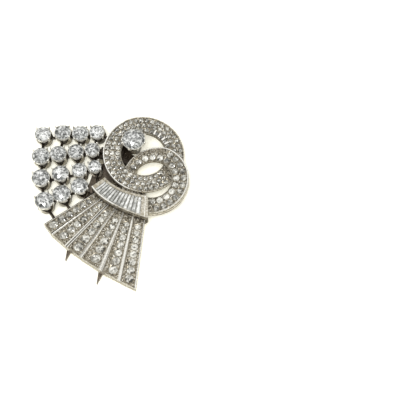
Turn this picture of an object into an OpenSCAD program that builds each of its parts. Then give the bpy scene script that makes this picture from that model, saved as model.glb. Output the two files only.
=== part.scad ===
// Dress clip with brilliants, pave scrolls, a collar of baguettes and a pleated fan.
// It lies on its back with its front up, resting on the hinge lugs and the back rail.
// Millimetres. X runs from the lattice of stones to the scrolls, Y up the front.

/* [Lattice] */
// Height of the girdles of the lattice stones above the table
girdle_z = 4.4; // [4.2:0.1:4.8]
// Height of the lower rims of the collets
collet_base_z = 1.4; // [1.2:0.1:1.5]
// Wall of a collet
collet_wall = 0.28; // [0.24:0.02:0.32]
// Thickness of a claw
claw_d = 0.36; // [0.3:0.02:0.4]
// Claws round each lattice stone
claw_count = 4; // [4:1:8]
// Thickness of the bars that join the collets
link_d = 0.6; // [0.5:0.05:0.7]

/* [Scrolls] */
// Outer radius of the upper scroll
upper_r = 7.7; // [7.55:0.05:7.75]
// Inner radius of the upper scroll
upper_hole_r = 4.2; // [4.15:0.05:4.25]
// Outer radius of the lower scroll
lower_r = 6.8; // [6.7:0.05:6.85]
// Inner radius of the lower scroll
lower_hole_r = 3.6; // [3.5:0.05:3.65]
// Height of the middle of the scrolls' faces
scroll_z = 4.6; // [4.5:0.05:4.7]
// Thickness of the scrolls
scroll_t = 1.7; // [1.6:0.05:1.8]
// Tilt of each scroll, which lifts one over the other where they cross
scroll_tilt = 7; // [6.5:0.25:7.25]
// Diameter of the large brilliant
centre_stone_d = 4.2; // [4.0:0.05:4.25]
// Height of the large brilliant's girdle
centre_girdle_z = 6.5; // [6.4:0.05:6.8]

/* [Collar] */
// Height of the collar's rails
collar_z = 5.2; // [5.1:0.05:5.4]
// Width of the rail along the collar's foot
collar_rail = 0.3; // [0.26:0.02:0.34]
// Baguettes in the collar
baguette_count = 14; // [13:1:15]

/* [Fan] */
// Height of the fan's face at the collar
fan_z = 3.35; // [3.2:0.05:3.4]
// Thickness of the fan
fan_t = 1.5; // [1.45:0.05:1.55]
// Slope of the fan down to its outer edge
fan_pitch = 2; // [1.5:0.25:2.5]
// Tilt of each pleat about its own length
pleat_roll = 4; // [3:0.5:5]

/* [Fork] */
// Distance between the middles of the two prongs
prong_gap = 7; // [6.8:0.1:7.1]
// Length of the left prong from the hinge
left_prong = 22.2; // [21.5:0.1:22.8]
// Length of the right prong from the hinge
right_prong = 25; // [24.4:0.1:25.4]
// Width of a prong
prong_w = 1.3; // [1.2:0.05:1.4]
// Thickness of the fork
fork_t = 0.7; // [0.6:0.05:0.75]
// Diameter of the hinge pin
pin_d = 0.8; // [0.7:0.05:0.9]
// Half the length of the hinge over its lugs
hinge_half = 3.8; // [3.7:0.05:3.9]

/* [Hidden] */
$fn = 48;
EPS = 0.01;

// How far a cutting solid runs past the face that it cuts
OVERCUT = 1;

// Gaps between pieces
stone_gap = 0.1;
seat_gap = 0.04;
pin_gap = 0.05;
slide_gap = 0.1;

// Lattice rows from the top, each stone as x, y, diameter
ROWS = [
  [[-12.95, 14.0, 2.95], [-9.2, 14.4, 3.0], [-5.85, 14.25, 3.0], [-2.7, 14.5, 2.75]],
  [[-13.15, 9.4, 3.25], [-9.9, 9.9, 3.0], [-6.6, 10.35, 2.85], [-3.5, 10.75, 2.7]],
  [[-13.0, 4.85, 3.3], [-9.35, 5.75, 3.05], [-5.8, 6.45, 2.7], [-2.95, 7.2, 2.4]],
  [[-12.15, 0.1, 3.4], [-9.0, 1.55, 3.25], [-5.7, 3.1, 3.05]]
];

// Centres of the scrolls and of the large brilliant
upper_c = [6.3, 9.6];
lower_c = [7.98, 4.36];
centre_c = [4.4, 11.85];

// Collar edges, each a curve of start, control and end points
COLLAR_TOP = [[-0.6, 4.12], [1.83, 1.45], [7.18, 0.64]];
COLLAR_FOOT = [[-3.06, 2.12], [-0.59, -1.38], [7.3, -3.93]];

// Ridges of the fan from the left, each as inner point, outer point
RIDGES = [
  [[-3.05, 2.05], [-12.1, -4.05]],
  [[-1.9, 0.75], [-10.75, -6.0]],
  [[-0.65, -0.6], [-7.9, -8.7]],
  [[1.05, -1.65], [-4.9, -11.05]],
  [[2.6, -2.4], [-1.05, -13.7]],
  [[4.5, -3.2], [2.35, -15.6]],
  [[6.65, -3.45], [5.2, -17.1]]
];

// Fork frame: its origin is the hinge axis, and the prongs run to -Y
hinge_c = [1.58, 9.7];
hinge_turn = -16.3;
hinge_z = 1.1;

ROW_NAMES = ["a", "b", "c", "d"];
PLEATS = len(RIDGES) - 1;
STONE_NODES = [for (r = [0:len(ROWS) - 1]) for (c = [0:len(ROWS[r]) - 1]) stone_name(r, c)];
BAGUETTE_NODES = [for (i = [1:baguette_count]) baguette_name(i)];

function stone_name(r, c) = str("brilliant_", ROW_NAMES[r], c + 1);
function baguette_name(i) = str("baguette_", i);

// Plane geometry
function unit(v) = v / norm(v);
function turn90(v) = [-v.y, v.x];
function angle_of(v) = atan2(v.y, v.x);
function spin(v, a) = [v.x * cos(a) - v.y * sin(a), v.x * sin(a) + v.y * cos(a)];
function curve(c, t) = (1 - t) * (1 - t) * c[0] + 2 * t * (1 - t) * c[1] + t * t * c[2];

// Distance of a point to the left of the line from a to b
function left_of(p, a, b) = (p - a) * turn90(unit(b - a));

// Stones. Proportions of a round cut are shares of its diameter.
TABLE_R = 0.28;
CROWN_H = 0.15;
GIRDLE_H = 0.03;
PAVILION_H = 0.43;
// Share of the pavilion, from the culet, at which its lower facets meet
KEEL = 0.25;
function depth_of(d) = d * (GIRDLE_H + PAVILION_H);

function ring_points(n, r, z, start = 0) =
  [for (i = [0:n - 1]) [r * cos(start + 360 / n * i), r * sin(start + 360 / n * i), z]];

// Round brilliant with 57 facets, its girdle's top edge at z = 0
module brilliant(d) {
  r = d / 2;
  table_r = TABLE_R * d;
  star_x = (table_r + r) / 2;
  half = 180 / 8;
  floor_z = -depth_of(d);
  points = concat(
    ring_points(8, table_r, CROWN_H * d),
    ring_points(8, star_x / cos(half), CROWN_H * d / 2, half),
    ring_points(16, r, 0),
    ring_points(16, r, -GIRDLE_H * d),
    ring_points(8, KEEL * r / cos(half), floor_z + KEEL * PAVILION_H * d, half),
    [[0, 0, floor_z]]
  );
  star = 8;
  top = 16;
  low = 32;
  keel = 48;
  culet = 56;
  faces = concat(
    [[for (i = [7:-1:0]) i]],
    [for (i = [0:7]) [i, (i + 1) % 8, star + i]],
    [for (i = [0:7]) [i, star + i, top + 2 * i]],
    [for (i = [0:7]) [i, top + 2 * i, star + (i + 7) % 8]],
    [for (i = [0:7]) [star + i, top + 2 * i + 1, top + 2 * i]],
    [for (i = [0:7]) [star + i, top + (2 * i + 2) % 16, top + 2 * i + 1]],
    [for (i = [0:15]) [top + i, top + (i + 1) % 16, low + (i + 1) % 16]],
    [for (i = [0:15]) [top + i, low + (i + 1) % 16, low + i]],
    [for (i = [0:7]) [keel + i, low + 2 * i, low + 2 * i + 1]],
    [for (i = [0:7]) [keel + i, low + 2 * i + 1, low + (2 * i + 2) % 16]],
    [for (i = [0:7]) [culet, low + 2 * i, keel + i]],
    [for (i = [0:7]) [culet, keel + (i + 7) % 8, low + 2 * i]]
  );
  polyhedron(points, faces);
}

// Single cut with 17 facets, for the pave
module single_cut(d) {
  points = concat(
    ring_points(8, TABLE_R * d, CROWN_H * d),
    ring_points(8, d / 2, 0),
    ring_points(8, d / 2, -GIRDLE_H * d),
    [[0, 0, -depth_of(d)]]
  );
  faces = concat(
    [[for (i = [7:-1:0]) i]],
    [for (k = [0, 8]) for (i = [0:7]) [k + i, k + (i + 1) % 8, k + 8 + (i + 1) % 8]],
    [for (k = [0, 8]) for (i = [0:7]) [k + i, k + 8 + (i + 1) % 8, k + 8 + i]],
    [for (i = [0:7]) [16 + i, 16 + (i + 1) % 8, 24]]
  );
  polyhedron(points, faces);
}

// A corner moved towards the middle of its four by a share
function shrunk(q, share) = let (m = (q[0] + q[1] + q[2] + q[3]) / 4) [for (p = q) m + (p - m) * share];
function at_height(q, z) = [for (p = q) [p.x, p.y, z]];

// Shares of a step cut's outline at its table, its crown's step and its keel
STEP_TABLE = 0.62;
STEP_CROWN = 0.84;
STEP_KEEL = 0.3;
// Share of the crown's height at its step
STEP_RISE = 0.65;
step_girdle = 0.05;

// Step cut over four corners in order, girdle at z = 0
module step_cut(q, crown, pavilion) {
  points = concat(
    at_height(shrunk(q, STEP_TABLE), crown),
    at_height(shrunk(q, STEP_CROWN), crown * STEP_RISE),
    at_height(q, 0),
    at_height(q, -step_girdle),
    at_height(shrunk(q, STEP_KEEL), -pavilion)
  );
  faces = concat(
    [[3, 2, 1, 0], [16, 17, 18, 19]],
    [for (k = [0:4:12]) for (i = [0:3]) [k + i, k + (i + 1) % 4, k + 4 + (i + 1) % 4]],
    [for (k = [0:4:12]) for (i = [0:3]) [k + i, k + 4 + (i + 1) % 4, k + 4 + i]]
  );
  polyhedron(points, faces);
}

// Collets: a tube with a flared cup, and claws that lean out past the girdle
collet_tube_h = 1.3;
collet_cup_drop = 0.36;
collet_lip = 0.02;
collet_lip_w = 0.2;
claw_rise = 0.4;
function tube_r(d) = 0.45 * d;

// A claw from its foot, that passes the girdle's lower edge with a gap
module claw(d, foot_r, foot_z, seat_z, tip_z) {
  rise = seat_z - foot_z;
  lean = atan2(d / 2 + claw_d / 2 - foot_r, rise);
  run = d / 2 + seat_gap + claw_d / 2 / cos(lean) - foot_r;
  translate([foot_r, 0, foot_z])
    rotate([0, atan2(run, rise), 0])
      cylinder(h = (tip_z - foot_z) * norm([run, rise]) / rise, d = claw_d, $fn = 24);
}

module collet(d, base_z, seat_z, tube_h, narrow, count, turn) {
  h = seat_z - base_z;
  wide = d / 2 + collet_lip;
  translate([0, 0, base_z]) {
    rotate_extrude()
      polygon([
        [narrow, 0],
        [narrow, tube_h],
        [wide, h - collet_cup_drop],
        [wide - collet_lip_w, h - collet_cup_drop],
        [narrow - collet_wall, tube_h - collet_wall],
        [narrow - collet_wall, 0]
      ]);
    for (i = [0:count - 1])
      rotate(turn + 360 / count * (i + 0.5))
        claw(d, narrow - claw_d / 2, tube_h - claw_d, h - GIRDLE_H * d, h + claw_rise);
  }
}

function row_turn(r) = let (last = len(ROWS[r]) - 1) angle_of(ROWS[r][last] - ROWS[r][0]);
function spot(r, c) = [ROWS[r][c].x, ROWS[r][c].y];
function size(r, c) = ROWS[r][c].z;

// A bar between the walls of two round things, given by centre and radius
module link(a, a_r, b, b_r, z) {
  way = unit(b - a);
  start = a + way * (a_r - collet_wall / 2);
  length = norm(b - a) - a_r - b_r + collet_wall;
  if (length > 0)
    translate([start.x, start.y, z])
      rotate([0, 90, angle_of(way)])
        cylinder(h = length, d = link_d, $fn = 24);
}

link_z = collet_base_z + 0.75;
ring_link_z = girdle_z - 0.6;
ring_link_depth = 0.9;

module lattice() {
  for (r = [0:len(ROWS) - 1]) for (c = [0:len(ROWS[r]) - 1]) {
    d = size(r, c);
    p = spot(r, c);
    translate([p.x, p.y, 0])
      collet(d, collet_base_z, girdle_z, collet_tube_h, tube_r(d), claw_count, row_turn(r));
    if (c + 1 < len(ROWS[r]))
      link(p, tube_r(d), spot(r, c + 1), tube_r(size(r, c + 1)), link_z);
    if (r + 1 < len(ROWS) && c < len(ROWS[r + 1]))
      link(p, tube_r(d), spot(r + 1, c), tube_r(size(r + 1, c)), link_z);
  }
}

// Bars from the lattice to the upper scroll, the collar and the fan
module lattice_ties() {
  for (r = [0:2])
    link(spot(r, 3), size(r, 3) / 2, upper_c, upper_r - ring_link_depth, ring_link_z);
  link(spot(2, 3), tube_r(size(2, 3)), (COLLAR_TOP[0] + COLLAR_FOOT[0]) / 2, 0, link_z);
  link(spot(3, 2), tube_r(size(3, 2)), COLLAR_FOOT[0], 0, link_z);
  for (c = [0:2]) {
    p = spot(3, c);
    a = RIDGES[0][1];
    b = RIDGES[0][0];
    foot = p - turn90(unit(b - a)) * left_of(p, a, b);
    link(p, tube_r(size(3, c)), foot, 0, link_z);
  }
}

// Scrolls. Each is lowest on the side of its angle. Their lower edges are cut away, except the
// outer one of the lower scroll.
upper_low = -32;
lower_low = -157;
scroll_rail = 0.25;
scroll_bevel = 0.1;
scroll_edge = 0.6;
scroll_cut = 0.6;
channel_d = 0.76;
pave_drop = 0.1;
centre_line = unit(lower_c - upper_c);
right_way = turn90(centre_line);

// The lower scroll narrows towards the large brilliant, cut by a circle set off from its own
lower_trim = [0.9, -0.2];
lower_trim_r = 6.72;

module trimmed(r) {
  tall = 9;
  intersection() {
    children();
    translate([lower_trim.x, lower_trim.y, -tall / 2])
      cylinder(h = tall, r = r, $fn = 96);
  }
}

module on_scroll(c, low) {
  translate([c.x, c.y, scroll_z])
    rotate(a = scroll_tilt, v = [-sin(low), cos(low), 0])
      children();
}

module scroll_band(hole_r, r, outer_cut, outer_edge) {
  rotate_extrude($fn = 96)
    polygon([
      [hole_r + scroll_cut, -scroll_t],
      [r - outer_cut, -scroll_t],
      [r, -outer_edge],
      [r, -scroll_bevel],
      [r - scroll_bevel, 0],
      [hole_r + scroll_bevel, 0],
      [hole_r, -scroll_bevel],
      [hole_r, -scroll_edge]
    ]);
}

module scroll_channel(hole_r, r) {
  rotate_extrude($fn = 96)
    translate([hole_r + scroll_rail, -channel_d])
      square([r - hole_r - 2 * scroll_rail, channel_d + OVERCUT]);
}

// Tall annulus over one scroll, on one side of the centre line
module crossing(c, hole_r, r, way) {
  tall = 9;
  reach = 24;
  intersection() {
    translate([c.x, c.y, 0])
      difference() {
        cylinder(h = tall, r = r, $fn = 96);
        translate([0, 0, -EPS])
          cylinder(h = tall + 2 * EPS, r = hole_r, $fn = 96);
      }
    translate([upper_c.x, upper_c.y, tall / 2])
      rotate(angle_of(way))
        translate([reach / 2, 0, 0])
          cube([reach, 2 * reach, tall + OVERCUT], center = true);
  }
}

module scrolls() {
  difference() {
    union() {
      on_scroll(upper_c, upper_low)
        scroll_band(upper_hole_r, upper_r, scroll_cut, scroll_edge);
      on_scroll(lower_c, lower_low)
        trimmed(lower_trim_r)
          scroll_band(lower_hole_r, lower_r, scroll_bevel, scroll_t - scroll_bevel);
    }
    difference() {
      on_scroll(upper_c, upper_low)
        scroll_channel(upper_hole_r, upper_r);
      crossing(lower_c, lower_hole_r, lower_r, right_way);
    }
    difference() {
      on_scroll(lower_c, lower_low)
        trimmed(lower_trim_r - scroll_rail)
          scroll_channel(lower_hole_r, lower_r);
      crossing(upper_c, upper_hole_r, upper_r, -right_way);
    }
  }
}

// Large brilliant's collet, soldered to the inner edge of the upper scroll
centre_base_z = 2.6;
centre_tube_h = 2.3;
centre_tube_r = 1.38;
centre_claws = 8;

module centre_collet() {
  translate([centre_c.x, centre_c.y, 0])
    collet(
      centre_stone_d, centre_base_z, centre_girdle_z,
      centre_tube_h, centre_tube_r, centre_claws, 0
    );
}

// Collar of baguettes
collar_foot_z = 1.9;
collar_channel = 0.9;
collar_steps = 16;
collar_start = -0.06;
collar_first = 0.035;
collar_last = 0.9;
collar_top_rail = 0.5;

// Point of the collar at a share t of its length and s from its top edge to its foot
function collar_at(t, inset_top, inset_foot) =
  let (a = curve(COLLAR_TOP, t), b = curve(COLLAR_FOOT, t), way = unit(b - a))
    [a + way * inset_top, b - way * inset_foot];
function collar_outline(from, to, inset_top, inset_foot) =
  let (ts = [for (i = [0:collar_steps]) from + (to - from) * i / collar_steps])
    concat(
      [for (t = ts) collar_at(t, inset_top, inset_foot)[0]],
      [for (i = [collar_steps:-1:0]) collar_at(ts[i], inset_top, inset_foot)[1]]
    );

module collar() {
  difference() {
    translate([0, 0, collar_foot_z])
      linear_extrude(collar_z - collar_foot_z)
        polygon(collar_outline(collar_start, 1, 0, 0));
    translate([0, 0, collar_z - collar_channel])
      linear_extrude(collar_channel + OVERCUT)
        polygon(collar_outline(collar_first, collar_last, collar_top_rail, collar_rail));
  }
}

// Plate under the collar's top edge that carries the upper scroll
shelf_z = 2.2;
shelf_t = 1.15;
shelf_w = 1.9;
shelf_margin = 0.1;

module collar_shelf() {
  a = curve(COLLAR_TOP, shelf_margin);
  b = curve(COLLAR_TOP, 1 - shelf_margin);
  up = turn90(unit(b - a)) * shelf_w;
  translate([0, 0, shelf_z])
    linear_extrude(shelf_t)
      polygon([a, b, b + up, a + up]);
}

// Fan. Each pleat has a frame whose X axis runs down its middle.
fan_channel = 1.2;
fan_channel_start = 0.05;
fan_stone_start = 0.15;
fan_tuck = 0.7;
small_d = 1.05;
end_margin = 0.45;

// Diameter of the outermost stone of each pleat, from the left
OUTER_D = [1.9, 1.8, 2.1, 2.1, 1.85, 1.7];

function pleat_origin(i) = (RIDGES[i][0] + RIDGES[i + 1][0]) / 2;
function pleat_end(i) = (RIDGES[i][1] + RIDGES[i + 1][1]) / 2;
function pleat_turn(i) = angle_of(pleat_end(i) - pleat_origin(i));
function pleat_length(i) = norm(pleat_end(i) - pleat_origin(i));
function in_pleat(i, p) = spin(p - pleat_origin(i), -pleat_turn(i));
function pave_growth(i) = (OUTER_D[i] - small_d) / pleat_length(i);
function pave_d(i, x) = small_d + pave_growth(i) * x;

// Stones of a pleat from its outer end, each as distance from the collar, diameter
function pleat_stones(i, x) =
  let (d = pave_d(i, x), step = (d + stone_gap) / (1 + pave_growth(i) / 2))
    x < d / 2 + fan_stone_start ? [] : concat([[x, d]], pleat_stones(i, x - step));
function first_x(i) = pleat_length(i) - end_margin - OUTER_D[i] / 2;

module on_pleat(i) {
  o = pleat_origin(i);
  translate([o.x, o.y, fan_z])
    rotate([0, 0, pleat_turn(i)])
      rotate([pleat_roll, fan_pitch, 0])
        children();
}

module pleat(i) {
  inner_a = in_pleat(i, RIDGES[i][0]);
  inner_b = in_pleat(i, RIDGES[i + 1][0]);
  outer_a = in_pleat(i, RIDGES[i][1]);
  outer_b = in_pleat(i, RIDGES[i + 1][1]);
  far = first_x(i) + OUTER_D[i] / 2 + seat_gap;
  near_w = small_d / 2 + seat_gap;
  far_w = OUTER_D[i] / 2 + seat_gap;
  on_pleat(i)
    difference() {
      translate([0, 0, -fan_t])
        linear_extrude(fan_t)
          polygon([inner_a - [fan_tuck, 0], inner_b - [fan_tuck, 0], outer_b, outer_a]);
      translate([0, 0, -fan_channel])
        linear_extrude(fan_channel + OVERCUT)
          polygon([
            [fan_channel_start, -near_w],
            [fan_channel_start, near_w],
            [far, far_w],
            [far, -far_w]
          ]);
    }
}

// Hinge and fork
lug_w = 1.0;
lug_d = 2.2;
lug_h = 2.45;
knuckle_d = 1.9;
bridge_z = 2.25;
bridge_t = 1.05;
riser_t = 0.65;
riser_x = -2.2;
riser_l = 2.9;
// Strut from the bridge to the large brilliant's collet
strut_x = -0.1;
strut_w = 2.3;
strut_l = 1.5;
fork_z = 0.4;

module at_hinge() {
  translate([hinge_c.x, hinge_c.y, 0])
    rotate(hinge_turn)
      children();
}

module along_pin(length) {
  translate([0, 0, hinge_z])
    rotate([0, 90, 0])
      cylinder(h = length, d = pin_d + 2 * pin_gap, center = true);
}

module hinge_lugs() {
  at_hinge() {
    difference() {
      for (side = [-1, 1])
        translate([side * (hinge_half - lug_w / 2), 0, lug_h / 2])
          cube([lug_w, lug_d, lug_h], center = true);
      along_pin(2 * hinge_half + OVERCUT);
    }
    translate([-hinge_half, -lug_d / 2, bridge_z])
      cube([2 * hinge_half, lug_d, bridge_t]);
    translate([riser_x, -lug_d / 2, bridge_z + bridge_t - EPS])
      cube([riser_l, lug_d, riser_t]);
    translate([strut_x, lug_d / 2 - EPS, bridge_z])
      cube([strut_w, strut_l, bridge_t]);
  }
}

// Rail between the prongs, on which the lower half of the clip rests
rail_y = -19.5;
rail_l = 4.8;
rail_w = 1.1;
rail_h = 2;

module back_rail() {
  at_hinge()
    translate([-rail_l / 2, rail_y, 0])
      cube([rail_l, rail_w, rail_h]);
}

module fork_plate() {
  half = prong_gap / 2;
  in_x = half - prong_w / 2;
  out_x = half + prong_w / 2;
  neck_x = hinge_half - lug_w - slide_gap;
  throat_y = -0.7;
  neck_y = -1.8;
  web_y = -6;
  taper = 3.6;
  tip = 0.06;
  translate([0, 0, fork_z])
    linear_extrude(fork_t)
      polygon([
        [-neck_x, throat_y],
        [-neck_x, neck_y],
        [-out_x, neck_y],
        [-out_x, taper - left_prong],
        [-half - tip, -left_prong],
        [-half + tip, -left_prong],
        [-in_x, taper - left_prong],
        [-in_x, web_y],
        [in_x, web_y],
        [in_x, taper - right_prong],
        [half - tip, -right_prong],
        [half + tip, -right_prong],
        [out_x, taper - right_prong],
        [out_x, neck_y],
        [neck_x, neck_y],
        [neck_x, throat_y]
      ]);
}

module knuckle() {
  translate([0, 0, hinge_z])
    rotate([0, 90, 0])
      cylinder(h = 2 * (hinge_half - lug_w - slide_gap), d = knuckle_d, center = true);
}

// Nodes
module mount() {
  color("silver") {
    scrolls();
    centre_collet();
    collar();
    collar_shelf();
    for (i = [0:PLEATS - 1])
      pleat(i);
    lattice();
    lattice_ties();
    hinge_lugs();
    back_rail();
  }
}

module fork() {
  color("gainsboro")
    at_hinge()
      difference() {
        union() {
          fork_plate();
          knuckle();
        }
        along_pin(2 * hinge_half);
      }
}

pin_end_gap = 0.05;

module hinge_pin() {
  color("silver")
    at_hinge()
      translate([0, 0, hinge_z])
        rotate([0, 90, 0])
          cylinder(h = 2 * (hinge_half - pin_end_gap), d = pin_d, center = true);
}

module centre_brilliant() {
  color("aliceblue")
    translate([centre_c.x, centre_c.y, centre_girdle_z])
      brilliant(centre_stone_d);
}

module lattice_brilliant(r, c) {
  color("aliceblue")
    translate([ROWS[r][c].x, ROWS[r][c].y, girdle_z])
      rotate(row_turn(r))
        brilliant(size(r, c));
}

// Rows of stones in each scroll, and the least gap between the cells of a row
upper_rows = 3;
lower_rows = 2;
cell_gap = 0.02;

// Rows of pave round a scroll, each stone as x, y from the scroll's centre
function pave_pitch(hole_r, r, rows) = (r - hole_r - 2 * scroll_rail) / rows;
function row_radius(hole_r, r, rows, k) = hole_r + scroll_rail + pave_pitch(hole_r, r, rows) * (k + 0.5);
function scroll_spots(hole_r, r, rows) =
  let (pitch = pave_pitch(hole_r, r, rows))
    [
      for (k = [0:rows - 1])
        let (ring = row_radius(hole_r, r, rows, k), n = floor(2 * PI * ring / (pitch + cell_gap)))
          for (j = [0:n - 1]) ring * [cos(360 / n * j), sin(360 / n * j)]
    ];

function over(p, c, hole_r, r, way, margin) =
  (p - upper_c) * way > 0 && norm(p - c) > hole_r - margin && norm(p - c) < r + margin;
function under_collar(p, margin) =
  left_of(p, COLLAR_TOP[0], COLLAR_TOP[2]) < margin && left_of(p, COLLAR_FOOT[2], COLLAR_TOP[2]) > -margin;

module upper_scroll_pave() {
  d = pave_pitch(upper_hole_r, upper_r, upper_rows) - stone_gap;
  margin = d / 2 + stone_gap;
  color("gainsboro")
    on_scroll(upper_c, upper_low)
      for (p = scroll_spots(upper_hole_r, upper_r, upper_rows))
        if (!over(upper_c + p, lower_c, lower_hole_r, lower_r, right_way, margin))
          translate([p.x, p.y, -pave_drop])
            rotate(angle_of(p))
              single_cut(d);
}

module lower_scroll_pave() {
  d = pave_pitch(lower_hole_r, lower_r, lower_rows) - stone_gap;
  margin = d / 2 + stone_gap;
  reach = lower_trim_r - scroll_rail - (d + stone_gap) / 2;
  color("gainsboro")
    on_scroll(lower_c, lower_low)
      for (p = scroll_spots(lower_hole_r, lower_r, lower_rows))
        if (!over(lower_c + p, upper_c, upper_hole_r, upper_r, -right_way, margin)
            && !under_collar(lower_c + p, margin)
            && norm(p - lower_trim) < reach)
          translate([p.x, p.y, -pave_drop])
            rotate(angle_of(p))
              single_cut(d);
}

module fan_pave() {
  color("gainsboro")
    for (i = [0:PLEATS - 1])
      on_pleat(i)
        for (s = pleat_stones(i, first_x(i)))
          translate([s.x, 0, -pave_drop])
            single_cut(s.y);
}

// Baguettes share the collar's channel by t, with a gap on each side as a share of the collar
baguette_drop = 0.05;
baguette_crown = 0.14;
baguette_pavilion = 0.7;
baguette_gap = 0.007;

module baguette(i) {
  span = (collar_last - collar_first) / baguette_count;
  t0 = collar_first + span * i + baguette_gap;
  t1 = collar_first + span * (i + 1) - baguette_gap;
  inset_top = collar_top_rail + seat_gap;
  inset_foot = collar_rail + seat_gap;
  a = collar_at(t0, inset_top, inset_foot);
  b = collar_at(t1, inset_top, inset_foot);
  color("aliceblue")
    translate([0, 0, collar_z - baguette_drop])
      step_cut([a[0], a[1], b[1], b[0]], baguette_crown, baguette_pavilion);
}

mount();
fork();
hinge_pin();
centre_brilliant();
upper_scroll_pave();
lower_scroll_pave();
fan_pave();
for (r = [0:len(ROWS) - 1]) for (c = [0:len(ROWS[r]) - 1])
  lattice_brilliant(r, c);
for (i = [1:baguette_count])
  baguette(i - 1);
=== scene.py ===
# A dress clip of white metal and clear stones, lying face up on a pale surface.
# Places and sizes are in millimetres, as in the part's source. Meshes are made in metres.
# A tone is the brightness of a face: 0 dark, 1 bright, below 0 black, above 1 plain and bright.
# Most tones are painted light and shade: shade in hollows and on turned-away sides, highlights, and
# the stones' sparkle.
import math

import bmesh
import bpy
import numpy as np
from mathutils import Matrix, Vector
from mathutils.geometry import delaunay_2d_cdt


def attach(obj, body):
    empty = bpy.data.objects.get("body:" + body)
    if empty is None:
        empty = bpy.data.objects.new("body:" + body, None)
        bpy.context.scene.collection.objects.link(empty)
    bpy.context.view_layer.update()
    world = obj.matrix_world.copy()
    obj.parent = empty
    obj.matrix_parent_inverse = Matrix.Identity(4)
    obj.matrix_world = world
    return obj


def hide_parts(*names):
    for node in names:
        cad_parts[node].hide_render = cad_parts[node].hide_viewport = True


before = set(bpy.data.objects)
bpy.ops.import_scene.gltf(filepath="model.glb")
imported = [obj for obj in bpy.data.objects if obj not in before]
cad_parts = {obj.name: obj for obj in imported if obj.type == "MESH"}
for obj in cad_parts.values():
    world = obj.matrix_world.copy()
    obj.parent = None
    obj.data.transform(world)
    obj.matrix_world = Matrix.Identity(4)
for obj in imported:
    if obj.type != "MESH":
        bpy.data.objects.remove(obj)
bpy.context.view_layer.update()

MM = 0.001
# Scale that keeps the rounder edges within the part's box
FIT = 0.9998
SEED = 11
METAL, STONE = 0, 1
# Points closer than this many metres are joined
WELD = 1e-7
# Angle past which an edge of the metal is sharp
SHARP = 30.0

# Camera, as measured on the photograph
VIEW_ELEVATION = 65.0
VIEW_DISTANCE = 300.0
VIEW_TARGET = (16.9, 1.0, 2.5)
LENS = 144.0
SENSOR = 36.0

# Lattice rows from the top, each stone as x, y, diameter
ROWS = [
    [(-12.95, 14.0, 2.95), (-9.2, 14.4, 3.0), (-5.85, 14.25, 3.0), (-2.7, 14.5, 2.75)],
    [(-13.15, 9.4, 3.25), (-9.9, 9.9, 3.0), (-6.6, 10.35, 2.85), (-3.5, 10.75, 2.7)],
    [(-13.0, 4.85, 3.3), (-9.35, 5.75, 3.05), (-5.8, 6.45, 2.7), (-2.95, 7.2, 2.4)],
    [(-12.15, 0.1, 3.4), (-9.0, 1.55, 3.25), (-5.7, 3.1, 3.05)],
]
ROW_NAMES = "abcd"
# Painted brightness of the reflections in the stones that differ from the others
STONE_LEVEL = {
    "a1": 0.66, "a2": 0.48, "a3": 0.5, "a4": 0.66, "b3": 0.5, "c1": 0.5, "c2": 0.6, "c4": 0.58,
}
USUAL_LEVEL = 0.55
GIRDLE_Z = 4.4
COLLET_BASE_Z = 1.4
COLLET_WALL = 0.28
CLAW_D = 0.36
CLAW_COUNT = 4
# Collet: height of its rim under the stone's girdle, depth of its V cuts, heights of its foot and
# belly as shares of its own, and steps round it
RIM_DROP = 0.3
CUT_DEPTH = 0.12
FOOT_SHARE = 0.1
BELLY_SHARE = 0.35
COLLET_STEPS = 64
# Painted light and shade round collet walls, each tone with the angle that it starts at: -90 in
# front,
# 0 on the right. The usual walls are lightest at the front left and black on the right, shaded ones
# are dark all round, the lit one is light in front, and the centre collet is black on its right.
WALL_LIGHT_AND_SHADE = [
    (-180, 0.42), (-113.58, 0.22), (-78.46, 0.3), (-25.84, -0.2), (23.58, 0.25), (156.42, -0.2),
]
SHADED_TONES = [(-180, 0.1), (-120, -0.2), (23.58, 0.1)]
LIT_TONES = [(-180, 0.6), (17.46, 0.1), (162.54, 0.6)]
CENTRE_LIGHT_AND_SHADE = [(-180, 0.25), (-78.46, -0.3), (78.46, 0.25)]
SEAT_GAP = 0.04
BAR_SIDES = 10
LINK_D = 0.6
LINK_Z = 2.15
RING_LINK_Z = 3.8
RING_LINK_DEPTH = 0.9

# Scrolls. Each is lowest at the angle "low". Its outer edge is upright down to "edge", and set in
# by "cut" below that. "trim" is a circle that cuts its outer side, as x, y, radius from its centre.
# Its rail is painted bright as a highlight in the arcs of "shine" and has the tone "plain"
# elsewhere. In the arcs of "bars", bars stand between its stones. "bright" has the places of its
# brightest stones, which get a brighter painted sparkle.
UPPER = {
    "c": np.array([6.3, 9.6]), "r": 7.7, "hole_r": 4.2, "rows": 3,
    "low": -32.0, "edge": 0.6, "cut": 0.6, "trim": None,
    "shine": [(120, 250)], "plain": 0.5, "bars": [(8, 78)],
    "bright": [(-0.6, 9.2), (0.7, 9.9), (-0.2, 7.2), (1.0, 5.5), (2.7, 4.1), (4.3, 5.2)],
}
LOWER = {
    "c": np.array([7.98, 4.36]), "r": 6.8, "hole_r": 3.6, "rows": 2,
    "low": -157.0, "edge": 1.6, "cut": 0.1, "trim": (0.9, -0.2, 6.72),
    "shine": [(-75, 110)], "plain": 0.55, "bars": [],
    "bright": [
        (5.8, 9.2), (8.0, 9.5), (9.7, 9.3), (12.2, 4.5), (11.3, 1.4), (10.1, 0.4), (8.9, -0.1),
    ],
}
SCROLL_Z = 4.6
SCROLL_T = 1.7
SCROLL_TILT = 7.0
SCROLL_RAIL = 0.25
SCROLL_EDGE = 0.6
SCROLL_CUT = 0.6
SCROLL_FLOOR = -0.2
SCROLL_STEPS = 360
PAVE_DROP = 0.1
STONE_GAP = 0.1
SMALL_SIDES = 8
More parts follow.
